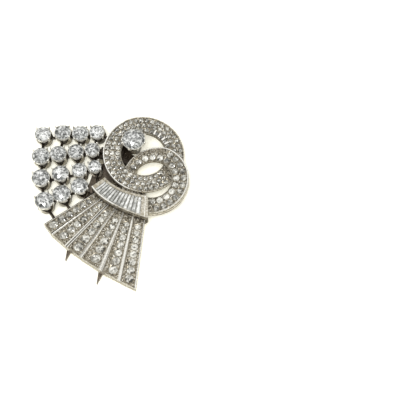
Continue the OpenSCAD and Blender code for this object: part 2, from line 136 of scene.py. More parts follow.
# Smallest grain, width of the cut round a small stone, and spread of the places of grains
GRAIN_R = 0.05
STONE_RIM = 0.025
JITTER = 0.05
CENTRE_C = np.array([4.4, 11.85])
CENTRE_D = 4.2
CENTRE_GIRDLE_Z = 6.5
CENTRE_BASE_Z = 2.6
CENTRE_TUBE_R = 1.38
CENTRE_CLAWS = 8

# Collar edges, each a curve of start, control and end points
COLLAR_TOP = np.array([(-0.6, 4.12), (1.83, 1.45), (7.18, 0.64)])
COLLAR_FOOT = np.array([(-3.06, 2.12), (-0.59, -1.38), (7.3, -3.93)])
COLLAR_Z = 5.2
COLLAR_FOOT_Z = 1.9
COLLAR_TOP_RAIL = 0.5
COLLAR_RAIL = 0.3
COLLAR_CHANNEL = 0.9
COLLAR_FIRST = 0.035
COLLAR_LAST = 0.9
BAGUETTES = 14
# Gap at each side of a step cut, as a share of the collar's length, and height of its edge
BAGUETTE_GAP = 0.007
BAGUETTE_Z = COLLAR_Z - 0.05
# Rings of a step cut from its table down, as share of its outline and height over its edge
STEP_RINGS = [(0.55, 0.14), (0.72, 0.115), (0.87, 0.07), (1.0, 0.0), (1.0, -0.05), (0.3, -0.7)]
# Painted brightness of the reflections in each step cut from the left
STEP_TONES = [0.5, 0.6, 0.4, 0.65, 0.5, 0.8, 0.4, 0.7, 0.5, 0.55, 0.9, 0.75, 0.55, 0.9]

# Ridges of the fan from the left, each as inner point, outer point
RIDGES = np.array([
    [(-3.05, 2.05), (-12.1, -4.05)],
    [(-1.9, 0.75), (-10.75, -6.0)],
    [(-0.65, -0.6), (-7.9, -8.7)],
    [(1.05, -1.65), (-4.9, -11.05)],
    [(2.6, -2.4), (-1.05, -13.7)],
    [(4.5, -3.2), (2.35, -15.6)],
    [(6.65, -3.45), (5.2, -17.1)],
])
PLEATS = len(RIDGES) - 1
FAN_Z = 3.35
FAN_T = 1.5
FAN_PITCH = 2.0
PLEAT_ROLL = 4.0
FAN_TUCK = 0.7
SMALL_D = 1.05
END_MARGIN = 0.45
OUTER_D = [1.9, 1.8, 2.1, 2.1, 1.85, 1.7]
FAN_FLOOR = 0.2
# Pleats: how far a pleat's right edge stands back from the next one, width of its plain outer end,
# and its channel's wall and corner radius
PLEAT_STEP = 0.03
PLEAT_END = 0.3
CHANNEL_WALL = 0.04
CHANNEL_CORNER = 0.45
# Painted brightness of the reflections in each pleat's stones, lighter towards the right
PLEAT_LEVEL = [0.46, 0.54, 0.62, 0.65, 0.68, 0.8]

# Rails along the sides of each pleat, as distance from its edge at the collar and at the outer end,
# height over the pleat's face, and tone of the band that follows. The tones paint highlights on
# the ridges and shade in the slits between the pleats.
LEFT_RAILS = [
    [(0, 0, -0.04, -0.3), (0.12, 0.14, 0, 0.7), (0.2, 0.26, 0, 0.2)],
    [(0, 0, -0.04, 0.0), (0.08, 0.12, 0, 0.9), (0.14, 0.26, -0.04, 0.0), (0.18, 0.34, 0, 1.0),
     (0.24, 0.48, 0, 0.15)],
    [(0, 0, -0.45, 0), (0.02, 0.01, -0.45, 0), (0.15, 0.04, -0.45, 0.7), (0.17, 0.07, -0.02, 0.95),
     (0.2, 0.1, 0, 1.0), (0.3, 0.3, 0, 0.3)],
    *([(0, 0, -0.04, 0.4), (0.03, 0.03, 0, tone), (0.08, 0.1, 0, 0.2)] for tone in (0.6, 0.6, 0.5)),
]
RIGHT_RAILS = [
    [(0, 0, -0.04, 0.4), (0.03, 0.03, 0, 0.6), (0.08, 0.09, 0, 0.2)],
    [(0, 0, -0.04, 0.9), (0.04, 0.04, 0, 1.0), (0.14, 0.27, 0, 0.3)],
    [(0, 0, -0.04, 0.9), (0.04, 0.04, 0, 1.0), (0.1, 0.24, 0, 0.2), (0.12, 0.27, -0.05, 0.2),
     (0.14, 0.3, 0, 0.7), (0.18, 0.38, 0, 0.2), (0.2, 0.41, -0.05, 0.2), (0.22, 0.44, 0, 0.7),
     (0.25, 0.52, 0, 0.2), (0.27, 0.55, -0.05, 0.2), (0.29, 0.58, 0, 0.6), (0.32, 0.64, 0, 0.2)],
    [(0, 0, -0.04, 0.9), (0.03, 0.04, 0, 1.0), (0.08, 0.14, 0, 0.2), (0.1, 0.18, -0.05, 0.2),
     (0.12, 0.22, 0, 0.75), (0.2, 0.7, 0, 0.2), (0.22, 0.73, -0.05, 0.2), (0.24, 0.76, 0, 0.7),
     (0.28, 0.84, 0, 0.2)],
    [(0, 0, -0.04, 0.85), (0.04, 0.05, 0, 0.95), (0.25, 0.4, 0, 0.7), (0.3, 0.6, 0, 0.3)],
    [(0, 0, -0.04, 0.9), (0.04, 0.05, 0, 0.95), (0.12, 0.24, 0, 0.3)],
]

# Side of the fan from its face down, as inset, drop and tone of the band above. The tones paint
# light bands with shade in the grooves between them.
FAN_SIDE = [
    (0.0, -0.3, 0.62), (0.06, -0.34, 0.1), (0.06, -0.44, 0.05), (0.0, -0.48, 0.1),
    (0.0, -0.8, 0.55), (0.06, -0.84, 0.1), (0.06, -0.94, 0.05), (0.0, -0.98, 0.1),
]
FAN_FOOT_TONE = 0.4

# Hinge behind, in a frame at its axis. Its blocks, each as low corner, high corner, cut of the
# edges and tone: the lugs, their bridge, the bridge's pad and strut, and the low rail. The bridge,
# pad and strut are painted black, as the shade seen through the opening over them.
HINGE_C = np.array([1.58, 9.7])
HINGE_TURN = -16.3
BACK_BLOCKS = [
    ((-3.8, -1.1, 0), (-2.8, 1.1, 2.45), 0.1, 0.5),
    ((2.8, -1.1, 0), (3.8, 1.1, 2.45), 0.1, 0.5),
    ((-3.8, -1.1, 2.25), (3.8, 1.1, 3.3), 0.1, -0.4),
    ((-2.2, -1.1, 3.2), (0.7, 1.1, 3.95), 0.05, -0.3),
    ((-0.1, 1.0, 2.35), (2.2, 2.6, 3.3), 0.05, -0.4),
    ((-2.4, -19.5, 0), (2.4, -18.4, 2.0), 0.1, 0.5),
]
# Web under the collar, as its depth behind the collar's top edge, and its lower and upper height.
# It is painted dark, as shade.
WEB = (1.9, 2.2, 3.35)

# Shares of a round cut's diameter
TABLE_R = 0.28
CROWN_H = 0.15
GIRDLE_H = 0.03
PAVILION_H = 0.43
# Faces of a round cut from its girdle down
LOWER_FACES = 80


# Plane geometry
def unit(v):
    return v / np.linalg.norm(v)


def turn90(v):
    return np.array([-v[1], v[0]])


def angle_of(v):
    return math.atan2(v[1], v[0])


def curve(c, t):
    return (1 - t) ** 2 * c[0] + 2 * t * (1 - t) * c[1] + t * t * c[2]


def left_of(p, a, b):
    """How far a point, or each of some points, lies to the left of the line from a to b."""
    return (p - a) @ turn90(unit(b - a))


def heading(angle):
    return np.array([math.cos(angle), math.sin(angle)])


def circle(n, r, start=0.0):
    a = start + np.arange(n) * 2 * math.pi / n
    return np.column_stack([r * np.cos(a), r * np.sin(a)])


def spun(points, angle):
    c, s = math.cos(angle), math.sin(angle)
    out = np.array(points, float)
    out[:, 0], out[:, 1] = c * out[:, 0] - s * out[:, 1], s * out[:, 0] + c * out[:, 1]
    return out


def linked(name, data):
    """New object of a mesh, lamp or camera, linked to the scene."""
    thing = bpy.data.objects.new(name, data)
    bpy.context.scene.collection.objects.link(thing)
    return thing


class Shape:
    """Points and faces of one piece, each face with a material's slot and a tone."""

    def __init__(self):
        self.points, self.faces, self.slots, self.tones = [], [], [], []

    def add(self, points, faces, slot, tone):
        """Adds faces. slot and tone are one for all of them, or one for each."""
        base, count = len(self.points), len(faces)
        self.points += [tuple(p) for p in np.asarray(points, float)]
        self.faces += [tuple(base + i for i in f) for f in faces]
        self.slots += [slot] * count if np.isscalar(slot) else list(slot)
        self.tones += [tone] * count if np.isscalar(tone) else list(tone)

    def piece(self, name, materials, nodes, slot, smooth=True, welded=False):
        mesh = bpy.data.meshes.new(name)
        mesh.from_pydata([tuple(c * MM * FIT for c in p) for p in self.points], [], self.faces)
        for material in materials:
            mesh.materials.append(material)
        mesh.polygons.foreach_set("material_index", self.slots)
        tone = mesh.attributes.new("tone", "FLOAT", "FACE")
        tone.data.foreach_set("value", self.tones)
        if smooth:
            mesh.polygons.foreach_set("use_smooth", [s == METAL for s in self.slots])
            mesh.set_sharp_from_angle(angle=math.radians(SHARP))
        mesh.validate()
        mesh.update()
        piece = linked(name, mesh)
        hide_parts(*nodes)
        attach(piece, "clip")
        if welded:
            weld(mesh)


def weld(mesh):
    """Joins points that coincide, and turns all faces outwards."""
    work = bmesh.new()
    work.from_mesh(mesh)
    bmesh.ops.remove_doubles(work, verts=work.verts, dist=WELD)
    bmesh.ops.recalc_face_normals(work, faces=work.faces)
    work.to_mesh(mesh)
    work.free()


# Simple solids
def loft(shape, rings, tone, loop=False, closed_ends=True):
    """Skin over rings of the same number of points. loop joins the last ring to the first."""
    n, count = len(rings[0]), len(rings)
    faces = []
    for k in range(count if loop else count - 1):
        a, b = k * n, (k + 1) % count * n
        faces += [(a + i, a + (i + 1) % n, b + (i + 1) % n, b + i) for i in range(n)]
    if closed_ends and not loop:
        faces.append(tuple(range(n - 1, -1, -1)))
        faces.append(tuple((count - 1) * n + i for i in range(n)))
    shape.add(np.vstack(rings), faces, METAL, tone)


def tube(shape, path, radii, tone):
    """Round bar along a path, with a radius at each point."""
    path = np.array(path, float)
    ways = [unit(way) for way in np.gradient(path, axis=0)]
    side = unit(np.cross(ways[0], (0, 0, 1) if abs(ways[0][2]) < 0.9 else (1, 0, 0)))
    rings = []
    for p, way, r in zip(path, ways, radii):
        side = unit(side - way * np.dot(side, way))
        c = circle(BAR_SIDES, r)
        rings.append(p + c[:, :1] * side + c[:, 1:] * np.cross(way, side))
    loft(shape, rings, tone)


def block(shape, low, high, b, tone):
    """Box in the hinge's frame, with its edges cut off by b."""
    low, high = np.array(low, float), np.array(high, float)
    rings = []
    for z, inset in ((low[2], b), (low[2] + b, 0), (high[2] - b, 0), (high[2], b)):
        x0, y0 = low[:2] + inset
        x1, y1 = high[:2] - inset
        ring = [
            (x0 + b, y0), (x1 - b, y0), (x1, y0 + b), (x1, y1 - b),
            (x1 - b, y1), (x0 + b, y1), (x0, y1 - b), (x0, y0 + b),
        ]
        ring = spun([(x, y, z) for x, y in ring], math.radians(HINGE_TURN))
        rings.append(ring + (*HINGE_C, 0))
    loft(shape, rings, tone)


# Stones
def facet_tones(rng, n, level, spread, dark):
    """Painted reflections of a cut stone: tones of facets round a level, with a share of them dark.
    """
    tones = np.clip(rng.normal(level, spread, n), 0.0, 1.1)
    return np.where(rng.random(n) < dark, 0.02, tones)


def make_stone(name, node, d, place, turn, level, rng, material):
    """Round brilliant. Its table is split where the facets below it show through, and every facet
    carries painted reflections, light and dark.
    """
    r, half = d / 2, math.pi / 8
    crown, girdle = CROWN_H * d, -GIRDLE_H * d
    table_r = TABLE_R * d
    star_r, keel_r = (table_r + r) / 2 / math.cos(half), 0.25 * r / math.cos(half)
    rings = [
        ([(0, 0)], crown), (circle(16, 0.45 * table_r, half / 2), crown),
        (circle(8, table_r), crown), (circle(8, star_r, half), crown / 2),
        (circle(32, r), 0), (circle(32, r), girdle),
        (circle(8, keel_r, half), girdle - 0.75 * PAVILION_H * d),
        ([(0, 0)], girdle - PAVILION_H * d),
    ]
    starts = np.cumsum([0] + [len(ring) for ring, _ in rings])
    centre, inner, table, star, top, low, keel, culet = starts[:8]
    faces = [(centre, inner + i, inner + (i + 1) % 16) for i in range(16)]
    for i in range(8):
        p, q, s = (inner + (2 * i + step) % 16 for step in (0, 1, 15))
        a, b = table + i, table + (i + 1) % 8
        faces += [(a, p, s), (a, q, p), (a, b, q)]
    for i in range(8):
        a, b, s, before = table + i, table + (i + 1) % 8, star + i, star + (i + 7) % 8
        g, h, end = (top + (4 * i + step) % 32 for step in (0, 2, 4))
        faces += [(a, s, b), (a, before, g, s)]
        faces += [(s, g, g + 1), (s, g + 1, h), (s, h, h + 1), (s, h + 1, end)]
    faces += [(top + i, low + i, low + (i + 1) % 32, top + (i + 1) % 32) for i in range(32)]
    for i in range(8):
        k, j = keel + i, keel + (i + 7) % 8
        faces += [(k, low + (4 * i + m + 1) % 32, low + 4 * i + m) for m in range(4)]
        faces += [(j, k, low + 4 * i), (culet, k, j)]
    tones = facet_tones(rng, len(faces), level, rng.uniform(0.16, 0.24), 0.06)
    # The girdle and the pavilion are painted black, as shade
    tones[-LOWER_FACES:] = 0.0
    points = spun([(x, y, z) for ring, z in rings for x, y in ring], turn) + place
    shape = Shape()
    shape.add(points, faces, STONE, tones)
    shape.piece(name, [material, material], [node], "diamond", smooth=False)


# Collets
def tone_at(angle, tones):
    """Tone that starts at the last of a table's angles before this one."""
    angle = (math.degrees(angle) + 180) % 360 - 180
    return [tone for start, tone in tones if start <= angle][-1]


def coronet(
    shape, centre, d, base_z, seat_z, tube_r, belly_r, count, turn, wall_shading,
    cut=0.24, dip=0.45, lean=0.35,
):
    """Collet: a cup with V cuts between its claws, a lip over them, and the claws. The V cuts, the
    foot and the inside are painted dark as shade, the wall carries painted light and shade by side,
    the lip is painted bright as a highlight but in shade on the right, and the claws in front are
    painted lighter.

    cut is the V's lowest height as a share of the collet's, dip how far the lip hangs down between
    the claws, and lean how far the foot stands off to the right."""
    h = seat_z - base_z
    rim = h - RIM_DROP
    top_r, in_r = d / 2 + 0.02, tube_r - COLLET_WALL
    foot = np.array([*centre, base_z])
    n = count * max(8, COLLET_STEPS // count)
    e = 0.05
    heights = [0, FOOT_SHARE * h, BELLY_SHARE * h, rim]
    rows = []
    for i in range(n):
        a = turn + 2 * math.pi * i / n
        way = heading(a)
        # 0 midway between two claws, and 1 at a claw
        share = 1 - abs(2 * ((i * count / n) % 1) - 1)
        # Painted light and shade of the wall on this side
        out = tone_at(a + math.pi / n, wall_shading)
        flank = 0.4 * lean * max(0.0, way[0])
        # The lip's tone: painted bright as a highlight, and painted in shade where the foot leans
        # out on the right
        lip = 0.1 if lean and way[0] > 0.65 else 1.2
        radii = [tube_r, tube_r, belly_r + flank, top_r + flank / 2]
        top = cut * h + (rim - 0.08 - cut * h) * share ** 1.2
        low = rim - dip * (1 - share)
        wall_r, half_r, cut_r, lip_r = np.interp([0.22, 0.75 * top, top, low], heights, radii)
        # Each point has the tone of the band that follows it: painted shade at the foot, in the V
        # cut and inside the cup, and a painted highlight along the top of the lip
        section = [
            (tube_r - e, 0, -0.2), (tube_r, e, -0.2), (wall_r, 0.22, out),
            (half_r, 0.75 * top, out), (cut_r, top, -0.2), (cut_r - CUT_DEPTH, top + 0.03, -0.3),
            (lip_r - CUT_DEPTH, low - 0.02, -0.2), (lip_r + 0.04, low, lip),
            (lip_r + 0.1, low + 0.06, lip), (top_r + 0.06, h - 0.2, lip),
            (top_r + 0.03, h - 0.11, 1.2), (top_r - 0.03, h - 0.1, 0.3),
            (top_r - 0.2, h - 0.4, 0.05), (in_r, BELLY_SHARE * h, 0.05), (in_r, e, 0.2),
        ]
        rows.append([(*(way * r), z, light) for r, z, light in section])
    rings = np.array(rows).transpose(1, 0, 2)
    rings[..., 0] += lean * np.clip(1 - rings[..., 2] / rim, 0, 1)
    loft(shape, rings[..., :3] + foot, rings[..., 3].ravel(), loop=True)
    claw_r = CLAW_D / 2
    r_top = d / 2 + SEAT_GAP + claw_r
    spots = [
        (tube_r - COLLET_WALL / 2, 0.3 * h, 0.9), (tube_r + 0.04, 0.45 * h, 0.95),
        (r_top - 0.12, h - 0.55, 1.0), (r_top, h - 0.05, 1.05), (r_top - 0.03, h + 0.14, 1.05),
        (r_top - 0.09, h + 0.26, 0.85), (r_top - 0.13, h + 0.32, 0.45),
    ]
    for i in range(count):
        a = turn + 2 * math.pi / count * (i + 0.5)
        way = heading(a)
        path = np.array([(*(way * r), z) for r, z, _ in spots]) + foot
        # Claws are painted light, lighter in front than behind
        tube(shape, path, [claw_r * share for _, _, share in spots], 1.0 if way[1] < 0 else 0.7)


def row_turn(row):
    return angle_of(np.subtract(row[-1][:2], row[0][:2]))


def bar(shape, a, a_r, b, b_r, z=LINK_Z):
    """Bar between the collets at a and b, whose radii are a_r and b_r. It is painted black, as the
    shade between them.
    """
    a, b = np.array(a, float), np.array(b, float)
    way = unit(b - a)
    start = a + way * (a_r - COLLET_WALL / 2)
    end = b - way * (b_r - COLLET_WALL / 2)
    if np.dot(end - start, way) > 0:
        path = [(*start, z), (*((start + end) / 2), z), (*end, z)]
        tube(shape, path, [LINK_D / 2] * 3, -0.05)


def tube_radius(d):
    return 0.45 * d


def make_lattice(metal):
    shape = Shape()
    for r, row in enumerate(ROWS):
        for c, (x, y, d) in enumerate(row):
            # The fourth collets of the top two rows are painted in shade, and that of the third row
            # lit
            wall_shading = WALL_LIGHT_AND_SHADE if c < 3 else LIT_TONES if r == 2 else SHADED_TONES
            coronet(
                shape, (x, y), d, COLLET_BASE_Z, GIRDLE_Z, tube_radius(d), d / 2 + 0.05, CLAW_COUNT,
                row_turn(row), wall_shading,
            )
            below = ROWS[r + 1][c:c + 1] if r + 1 < len(ROWS) else []
            for other in row[c + 1:c + 2] + below:
                bar(shape, (x, y), tube_radius(d), other[:2], tube_radius(other[2]))
    for row in ROWS[:3]:
        x, y, d = row[3]
        bar(shape, (x, y), d / 2, UPPER["c"], UPPER["r"] - RING_LINK_DEPTH, RING_LINK_Z)
    ends = [(ROWS[2][3], (COLLAR_TOP[0] + COLLAR_FOOT[0]) / 2), (ROWS[3][2], COLLAR_FOOT[0])]
    inner, outer = RIDGES[0]
    for stone in ROWS[3]:
        p = np.array(stone[:2])
        ends.append((stone, p - turn90(unit(inner - outer)) * left_of(p, outer, inner)))
    for (x, y, d), end in ends:
        bar(shape, (x, y), tube_radius(d), end, 0)
    shape.piece("lattice_collets", [metal], ["mount"], "white_metal")


# Reliefs: one sheet of triangles over a plane, with stones, beads and rails raised from it
def crown_planes(d):
    """Height over the plane of a small stone's crown, as z = a x + b y + c for each facet."""
    step = 2 * math.pi / SMALL_SIDES
    crown, apothem = CROWN_H * d, d / 2 * math.cos(step / 2)
    slope = crown / (apothem - TABLE_R * d * math.cos(step / 2))
    planes = [(0.0, 0.0, crown)]
    for k in range(SMALL_SIDES):
        a = (k + 0.5) * step
        planes.append((-slope * math.cos(a), -slope * math.sin(a), slope * apothem))
    return np.array(planes)


def clearance(p, rounds):
    """Distance from a point to the nearest circle, of tuples that start with x, y, radius."""
    c = np.array([item[:3] for item in rounds])
    return np.min(np.linalg.norm(c[:, :2] - p, axis=1) - c[:, 2]) if rounds else math.inf


def jittered(xs, ys, rng):
    """Places of a grid, each moved a little."""
    return [(x, y) + rng.uniform(-JITTER, JITTER, 2) for x in xs for y in ys]


class Relief:
    """base gives the height of the bare sheet, and the tone given with it is the sheet's tone,
    painted dark as the shade between the stones and beads. Levels are numbers, or functions of
    places as base is."""

    def __init__(self, base, floor_shade):
        self.base = base
        self.floor_shade = floor_shade
        self.spots, self.loops, self.kinds = [], [], []
        self.stones, self.beads, self.bars = [], [], []

    def outline(self, points, kind="base", tone=None):
        start = len(self.spots)
        self.spots += [tuple(p) for p in points]
        self.loops.append(list(range(start, start + len(points))))
        self.kinds.append((kind, self.floor_shade if tone is None else tone))

    def stone(self, x, y, d, turn, level, tones):
        n, p = SMALL_SIDES, np.array([x, y])
        start = len(self.spots)
        rings = [circle(n, TABLE_R * d, turn) + p, circle(n, d / 2, turn) + p, [p]]
        self.spots += [tuple(q) for q in np.vstack(rings)]
        self.stones.append((x, y, d / 2, turn, level))
        for i in range(n):
            a, b = start + i, start + (i + 1) % n
            self.loops += [[start + 2 * n, a, b], [a, a + n, b + n, b]]
            self.kinds += [("stone", tones[i]), ("stone", tones[n + i])]
        self.outline(circle(n, d / 2 + STONE_RIM, turn) + p)

    def bead(self, x, y, r, level, tone):
        self.beads.append((x, y, r, level))
        p = np.array([x, y])
        self.outline(circle(6, r) + p, "bead", tone)
        if r > 0.1:
            self.outline(circle(6, 0.62 * r, 0.5) + p, "bead", tone)
        self.spots.append((x, y))

    def bar(self, x, y, length, width, turn, z, tone):
        """Flat bar with its length along the angle turn."""
        self.bars.append((x, y, length, width, turn, z))
        for grow, kind in ((0.02, "base"), (0.0, "bead")):
            a, b = length / 2 + grow, width / 2 + grow
            corners = spun([(-a, -b), (a, -b), (a, b), (-a, b)], turn) + (x, y)
            self.outline(corners, kind, tone if kind == "bead" else None)

    def grains(self, places, sizes, room, level, rng):
        """Small beads wherever they fit between the stones and the other beads, in mixed tones from
        black to bright that paint shade and glints on them at random.
        """
        for p, most in zip(places, rng.uniform(*sizes, len(places))):
            space = room(*p) - 0.01
            if space >= GRAIN_R:
                space = min(space, clearance(p, self.stones) - 0.03)
            if space < GRAIN_R:
                continue
            space = min(space, clearance(p, self.beads) - 0.01)
            for x, y, length, width, turn, _ in self.bars:
                u, v = np.abs(spun([(p[0] - x, p[1] - y)], -turn)[0])
                space = min(space, max(u - length / 2, v - width / 2) - 0.03)
            if space >= GRAIN_R:
                tone = rng.choice([0.0, 0.3, 0.65, 1.1], p=[0.26, 0.24, 0.24, 0.26])
                self.bead(*p, min(space, most), level, tone)

    def height(self, xy):
        z = self.base(xy)

        def raise_to(inside, level, rise):
            floor = level(xy[inside]) if callable(level) else level
            z[inside] = np.maximum(z[inside], floor + rise)

        for x, y, r, turn, level in self.stones:
            near = np.flatnonzero(np.abs(xy[:, 0] - x) + np.abs(xy[:, 1] - y) < 3 * r)
            planes = crown_planes(2 * r)
            crown = np.min(spun(xy[near] - (x, y), -turn) @ planes[:, :2].T + planes[:, 2], axis=1)
            raise_to(near[crown > -1e-4], level, crown[crown > -1e-4])
        for x, y, r, level in self.beads:
            share = ((xy - (x, y)) ** 2).sum(1) / (r * r)
            inside = share <= 1.0001
            raise_to(inside, level, r * np.sqrt(np.clip(1 - share[inside], 0, 1)))
        for x, y, length, width, turn, level in self.bars:
            q = np.abs(spun(xy - (x, y), -turn))
            z[(q[:, 0] < length / 2 + 1e-4) & (q[:, 1] < width / 2 + 1e-4)] = level
        return z

    def build(self, keep=None):
        """Points, triangles, slots and tones of the sheet. keep says which places are in it."""
        out = delaunay_2d_cdt([Vector(p) for p in self.spots], [], self.loops, 0, 1e-6, True)
        xy = np.array([tuple(p) for p in out[0]])
        faces, slots, tones = [], [], []
        for f, origin in zip(out[2], out[5]):
            if not origin or (keep and not keep(*xy[list(f)].mean(0))):
                continue
            kinds = dict(self.kinds[i] for i in reversed(origin))
            kind = next(k for k in ("bead", "stone", "band", "base") if k in kinds)
            faces.append(tuple(f))
            slots.append(STONE if kind == "stone" else METAL)
            tones.append(kinds[kind])
        return np.column_stack([xy, self.height(xy)]), faces, slots, tones


def covered(p, ring, way, margin):
    """Whether a place is within margin of a scroll, on the side where that one lies on top."""
    away = np.linalg.norm(p - ring["c"])
    return np.dot(p - UPPER["c"], way) > 0 and ring["hole_r"] - margin < away < ring["r"] + margin


def under_collar(p, margin):
    return (
        left_of(p, COLLAR_TOP[0], COLLAR_TOP[2]) < margin
        and left_of(p, COLLAR_FOOT[2], COLLAR_TOP[2]) > -margin
    )


RIGHT_WAY = turn90(unit(LOWER["c"] - UPPER["c"]))


def tilted(points, ring):
    """Points of a scroll's own frame, turned down at its lowest side and put in its place."""
    low, tilt = math.radians(ring["low"]), math.radians(SCROLL_TILT)
    axis, c = np.array([-math.sin(low), math.cos(low), 0]), math.cos(tilt)
    turned = points * c + np.cross(axis, points) * math.sin(tilt)
    return turned + np.outer(points @ axis, axis) * (1 - c) + (*ring["c"], SCROLL_Z)


def edge_towards(ring, x, y):
    """Outer radius of a scroll on the side of a point given from its centre."""
    if not ring["trim"]:
        return ring["r"]
    trim_x, trim_y, trim_r = ring["trim"]
    along = (trim_x * x + trim_y * y) / math.hypot(x, y)
    return min(ring["r"], along + math.sqrt(trim_r ** 2 - trim_x ** 2 - trim_y ** 2 + along ** 2))


def inside_trim(ring, p, margin):
    return not ring["trim"] or np.linalg.norm(p - ring["trim"][:2]) < ring["trim"][2] - margin


# Painted sparkle of a small stone's facets, lighter with fewer dark facets where the stone is one
# of the brightest
def stone_tones(rng, bright):
    level, spread, dark = (0.8, 0.18, 0.04) if bright else (rng.uniform(0.38, 0.6), 0.2, 0.12)
    return facet_tones(rng, 2 * SMALL_SIDES, level, spread, dark)


def in_arcs(angle, arcs):
    return any((angle - a) % 360 < b - a for a, b in arcs)


def make_scroll(name, nodes, ring, hidden, rng, materials):
    """Ring with rails on both edges and rows of stones held by beads, all one mesh."""
    c, r, hole_r, rows = ring["c"], ring["r"], ring["hole_r"], ring["rows"]
    in_r, out_r = hole_r + SCROLL_RAIL, r - SCROLL_RAIL
    rim = circle(SCROLL_STEPS, 1)
    loss = np.array([r - edge_towards(ring, x, y) for x, y in rim])

    def room(x, y):
        away = math.hypot(x, y)
        return min(edge_towards(ring, x, y) - SCROLL_RAIL - away, away - in_r)

    def barred(k, angle):
        return k == 0 and in_arcs(math.degrees(angle), ring["bars"])

    relief = Relief(lambda xy: np.full(len(xy), SCROLL_FLOOR), 0.25)
    relief.outline(rim * (out_r - loss)[:, None])
    relief.outline(circle(SCROLL_STEPS, in_r))
    pitch = (r - hole_r - 2 * SCROLL_RAIL) / rows
    d = pitch - STONE_GAP
    placed = []
    for k in range(rows):
        away = in_r + pitch * (k + 0.5)
        count = math.floor(2 * math.pi * away / (pitch + 0.02))
        placed += [
            (p, k, count) for p in circle(count, away)
            if not hidden(c + p, d / 2 + STONE_GAP)
            and inside_trim(ring, p, SCROLL_RAIL + (d + STONE_GAP) / 2)
        ]
    places = np.array([c + p for p, _, _ in placed])
    chosen = {int(np.argmin(np.linalg.norm(places - q, axis=1))) for q in ring["bright"]}
    for i, (p, k, _) in enumerate(placed):
        # Stones between the bars are painted darker
        tones = stone_tones(rng, i in chosen) * (0.4 if barred(k, angle_of(p)) else 1)
        relief.stone(*p, d, angle_of(p), -PAVE_DROP, tones)
    for p, k, count in placed:
        away, a = np.linalg.norm(p), angle_of(p) + math.pi / count
        way = heading(a)
        if barred(k, a):
            # The bar is painted bright as a highlight
            relief.bar(*(way * away), 0.9 * pitch, 0.32, a, 0.05, 1.4)
            continue
        for step in (-0.47, 0.47):
            q = way * (away + step * pitch)
            space = min(clearance(q, relief.stones), room(*q), clearance(q, relief.beads))
            if space > 0.07:
                # Beads are painted lighter or darker at random, as glints
                relief.bead(*q, min(space - 0.01, 0.17), -0.13, rng.uniform(0.4, 1.0))
    reach = np.arange(-r, r, 0.19)
    places = jittered(reach, reach, rng)
    relief.grains(places, (0.08, 0.14), room, -0.15, rng)
    points, faces, slots, tones = relief.build(lambda x, y: room(x, y) > -0.001)
    shape = Shape()
    shape.add(tilted(points, ring), faces, slots, tones)

    b, t = 0.06, SCROLL_T
    # Each point has the tone of the band that follows it. The outer side is painted in shade, black
    # in its grooves, and the hole's edge is painted lighter towards the top.
    profile = [
        (out_r, SCROLL_FLOOR, 0.2), (out_r, -b, "rail"), (out_r + b, 0.0, "rail"),
        (r - b, 0.0, "rail"), (r, -b, 0.5),
    ]
    if ring["edge"] > 1:
        profile += [
            (r, -0.4, 0.0), (r - b, -0.45, 0.0), (r - b, -0.6, 0.0), (r, -0.65, 0.45),
            (r, -1.2, 0.15),
        ]
    profile += [
        (r, -ring["edge"], 0.2), (r - ring["cut"], -t, 0.2), (hole_r + SCROLL_CUT, -t, 0.2),
        (hole_r, -SCROLL_EDGE, 0.3), (hole_r, -0.3, 0.4), (hole_r + 0.04, -0.22, 0.45),
        (in_r - b, 0.0, 0.6), (in_r, -b, 0.3), (in_r, SCROLL_FLOOR, 0.2),
    ]
    angles = np.arange(SCROLL_STEPS) * 360 / SCROLL_STEPS
    # The rail is painted bright as a highlight in its arcs of shine
    rail_tones = [0.9 if in_arcs(a, ring["shine"]) else ring["plain"] for a in angles]
    tones = []
    for _, _, tone in profile[:-1]:
        tones += rail_tones if tone == "rail" else [tone] * SCROLL_STEPS
    rings = []
    for ring_r, z, _ in profile:
        radii = ring_r - loss * (ring_r > hole_r + SCROLL_CUT + 0.01)
        rings.append(tilted(np.column_stack([rim * radii[:, None], np.full(len(rim), z)]), ring))
    loft(shape, rings, tones, closed_ends=False)
    shape.piece(name, materials, nodes, "pave_diamond", welded=True)


# Materials
def node_tree(name):
    material = bpy.data.materials.new(name)
    material.use_nodes = True
    return material, material.node_tree, material.node_tree.nodes["Principled BSDF"]


def coloured(tree, shader, tone, places, colours):
    """Gives a shader one of three colours by tone, each with its place on the ramp of tones."""
    node = tree.nodes.new("ShaderNodeValToRGB")
    elements = node.color_ramp.elements
    elements.new(0.5)
    for element, place, colour in zip(elements, places, colours):
        element.position = place
        element.color = (*colour, 1)
    tree.links.new(tone, node.inputs[0])
    tree.links.new(node.outputs[0], shader.inputs["Base Color"])


def textured(tree, kind, scale, output, detail=None):
    place = tree.nodes.new("ShaderNodeTexCoord")
    node = tree.nodes.new(kind)
    node.inputs["Scale"].default_value = scale
    if detail is not None:
        node.inputs["Detail"].default_value = detail
    tree.links.new(place.outputs["Object"], node.inputs["Vector"])
    return node.outputs[output]


def tone_of(tree):
    node = tree.nodes.new("ShaderNodeAttribute")
    node.attribute_name = "tone"
    return node.outputs["Fac"]


def arithmetic(tree, operation, *values):
    node = tree.nodes.new("ShaderNodeMath")
    node.operation = operation
    for socket, value in zip(node.inputs, values):
        if isinstance(value, (int, float)):
            socket.default_value = value
        else:
            tree.links.new(value, socket)
    return node.outputs[0]


def mixed(tree, a, b, share, top=None):
    """a plus b less a half, times a share. The share falls to nothing where a reaches top."""
    change = arithmetic(tree, "MULTIPLY", arithmetic(tree, "SUBTRACT", b, 0.5), share)
    if top:
        change = arithmetic(tree, "MULTIPLY", change, arithmetic(tree, "SUBTRACT", top, a))
    return arithmetic(tree, "ADD", a, change)


